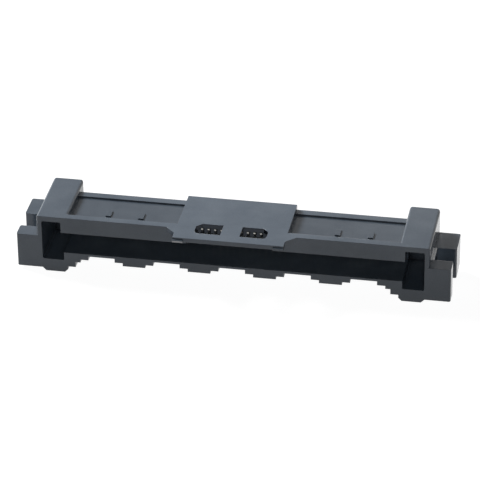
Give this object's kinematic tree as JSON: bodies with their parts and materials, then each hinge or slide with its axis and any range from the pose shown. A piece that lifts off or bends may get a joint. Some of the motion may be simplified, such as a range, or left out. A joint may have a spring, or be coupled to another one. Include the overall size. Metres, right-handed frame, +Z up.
{
  "type": "ffc connector",
  "caption": "Right-angle board connector with a wide mating slot for a flat cable, a guide tower at each end, a centre lip with a latch pocket, and solder hold-downs.",
  "frame": {"origin": "centre of the overall bounding box, on the board plane under the feet", "axes": "+X along the row of contacts, -Y out of the mating slot, +Z up from the board"},
  "size_m": [0.0332, 0.0076, 0.0047],
  "materials": {
    "housing": "moulded, fine matt, dark blue-grey",
    "contact_metal": "blanked copper alloy sheet with a pale plating",
    "tinned_metal": "stamped copper alloy sheet, tin plated, satin"
  },
  "bodies": {
    "root": {"housing": "housing", "hold_down_left": "tinned_metal", "hold_down_right": "tinned_metal", "contact_01": "contact_metal", "contact_02": "contact_metal", "contact_03": "contact_metal", "contact_04": "contact_metal", "contact_05": "contact_metal", "contact_06": "contact_metal", "contact_07": "contact_metal", "contact_08": "contact_metal", "contact_09": "contact_metal", "contact_10": "contact_metal", "contact_11": "contact_metal", "contact_12": "contact_metal", "contact_13": "contact_metal", "contact_14": "contact_metal", "contact_15": "contact_metal", "contact_16": "contact_metal", "contact_17": "contact_metal", "contact_18": "contact_metal", "contact_19": "contact_metal", "contact_20": "contact_metal", "contact_21": "contact_metal", "contact_22": "contact_metal", "contact_23": "contact_metal", "contact_24": "contact_metal", "contact_25": "contact_metal", "contact_26": "contact_metal", "contact_27": "contact_metal", "contact_28": "contact_metal", "contact_29": "contact_metal", "contact_30": "contact_metal", "contact_31": "contact_metal", "contact_32": "contact_metal", "contact_33": "contact_metal", "contact_34": "contact_metal", "contact_35": "contact_metal", "contact_36": "contact_metal", "contact_37": "contact_metal", "contact_38": "contact_metal", "contact_39": "contact_metal", "contact_40": "contact_metal", "contact_41": "contact_metal", "contact_42": "contact_metal", "contact_43": "contact_metal", "contact_44": "contact_metal", "contact_45": "contact_metal", "contact_46": "contact_metal", "contact_47": "contact_metal", "contact_48": "contact_metal", "contact_49": "contact_metal", "contact_50": "contact_metal", "contact_51": "contact_metal"}
  },
  "joints": []
}
